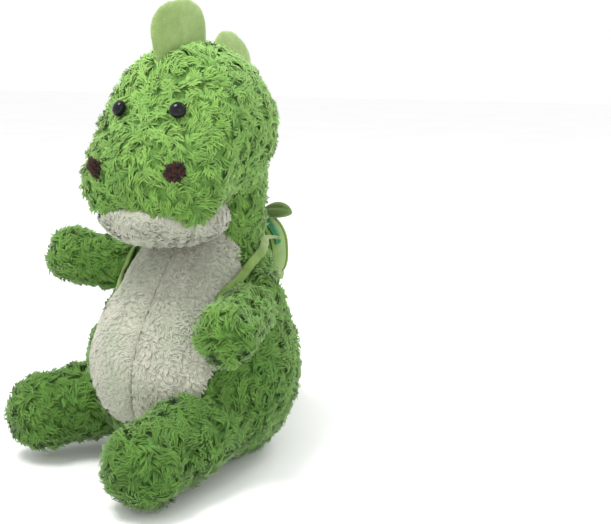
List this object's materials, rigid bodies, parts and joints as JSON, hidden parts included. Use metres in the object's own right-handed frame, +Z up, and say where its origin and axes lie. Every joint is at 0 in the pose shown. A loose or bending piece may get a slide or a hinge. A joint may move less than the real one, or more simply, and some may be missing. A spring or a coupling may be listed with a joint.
{
  "type": "stuffed dinosaur",
  "caption": "Sitting plush dinosaur in green swirl pile with a white belly, padded spikes and a small avocado backpack.",
  "frame": {"origin": "middle of the flat seat, on the surface that the toy sits on", "axes": "+Z up, the toy faces -Y, its left side is +X"},
  "size_m": [0.3102, 0.4981, 0.4954],
  "materials": {
    "green_pile": "swirled long pile",
    "white_pile": "short dense pile",
    "spike_velour": "velour",
    "filling": "loose polyester fibre",
    "eye_black": "polished",
    "washer_plastic": "moulded",
    "nostril_pile": "short pile",
    "bag_lime": "velour",
    "bag_olive": "velour",
    "bag_brown": "velour",
    "zip_green": "woven tape",
    "zip_metal": "cast",
    "leaf_velour": "velour"
  },
  "bodies": {
    "torso": {"torso_skin": "green_pile", "torso_filling": "filling", "belly_panel_left": "white_pile", "belly_panel_right": "white_pile", "bag_front_panel": "bag_lime", "bag_pit_patch": "bag_brown", "bag_gusset": "bag_olive", "bag_back_panel": "bag_olive", "zip_tape": "zip_green", "bag_stem": "bag_brown", "strap_left": "bag_olive", "strap_right": "bag_olive"},
    "head": {"head_skin": "green_pile", "head_filling": "filling", "lower_jaw": "white_pile", "eye_left": "eye_black", "eye_right": "eye_black", "eye_washer_left": "washer_plastic", "eye_washer_right": "washer_plastic", "nostril_left": "nostril_pile", "nostril_right": "nostril_pile", "head_spike_front": "spike_velour", "head_spike_middle": "spike_velour", "head_spike_rear": "spike_velour"},
    "arm_left": {"arm_left_skin": "green_pile", "arm_left_filling": "filling"},
    "arm_right": {"arm_right_skin": "green_pile", "arm_right_filling": "filling"},
    "leg_left": {"leg_left_skin": "green_pile", "leg_left_filling": "filling"},
    "leg_right": {"leg_right_skin": "green_pile", "leg_right_filling": "filling"},
    "tail": {"tail_skin": "green_pile", "tail_filling": "filling", "tail_spike_upper": "spike_velour", "tail_spike_lower": "spike_velour"},
    "slider": {"zip_slider": "zip_metal"},
    "pull": {"zip_pull": "zip_green"},
    "leaf": {"bag_leaf": "leaf_velour"}
  },
  "joints": [
    {"name": "neck_nod", "type": "hinge", "parent": "torso", "child": "head", "pos_m": [0, 0.029, 0.264], "axis": [1, 0, 0], "range_deg": [-12, 8], "stiffness_Nm_per_rad": 6},
    {"name": "arm_left_swing", "type": "hinge", "parent": "torso", "child": "arm_left", "pos_m": [0.076, 0.006, 0.178], "axis": [-0.6614, -0.271, 0.6994], "range_deg": [0, 20], "stiffness_Nm_per_rad": 0.8},
    {"name": "arm_right_swing", "type": "hinge", "parent": "torso", "child": "arm_right", "pos_m": [-0.074, 0.003, 0.195], "axis": [-0.5204, 0.8539, 0], "range_deg": [0, 20], "stiffness_Nm_per_rad": 0.8},
    {"name": "leg_left_lift", "type": "hinge", "parent": "torso", "child": "leg_left", "pos_m": [0.066, -0.032, 0.064], "axis": [-0.7694, -0.0295, 0.6381], "range_deg": [0, 16], "stiffness_Nm_per_rad": 1.5},
    {"name": "leg_right_lift", "type": "hinge", "parent": "torso", "child": "leg_right", "pos_m": [-0.066, -0.032, 0.064], "axis": [-0.5462, 0.5433, -0.6376], "range_deg": [0, 16], "stiffness_Nm_per_rad": 1.5},
    {"name": "tail_lift", "type": "hinge", "parent": "torso", "child": "tail", "pos_m": [0, 0.082, 0.072], "axis": [0.9728, 0.2316, 0], "range_deg": [0, 12], "stiffness_Nm_per_rad": 2},
    {"name": "zip_run", "type": "hinge", "parent": "torso", "child": "slider", "pos_m": [0, 0.12117, 0.21154], "axis": [0, 0.9925, 0.1219], "range_deg": [0, 140]},
    {"name": "pull_swing", "type": "hinge", "parent": "slider", "child": "pull", "pos_m": [-0.04577, 0.11962, 0.22414], "axis": [0, 0.9925, 0.1219], "range_deg": [0, 60]},
    {"name": "leaf_fold", "type": "hinge", "parent": "torso", "child": "leaf", "pos_m": [0.01, 0.13057, 0.254], "axis": [0, -1, 0], "range_deg": [-10, 35], "stiffness_Nm_per_rad": 0.02}
  ]
}
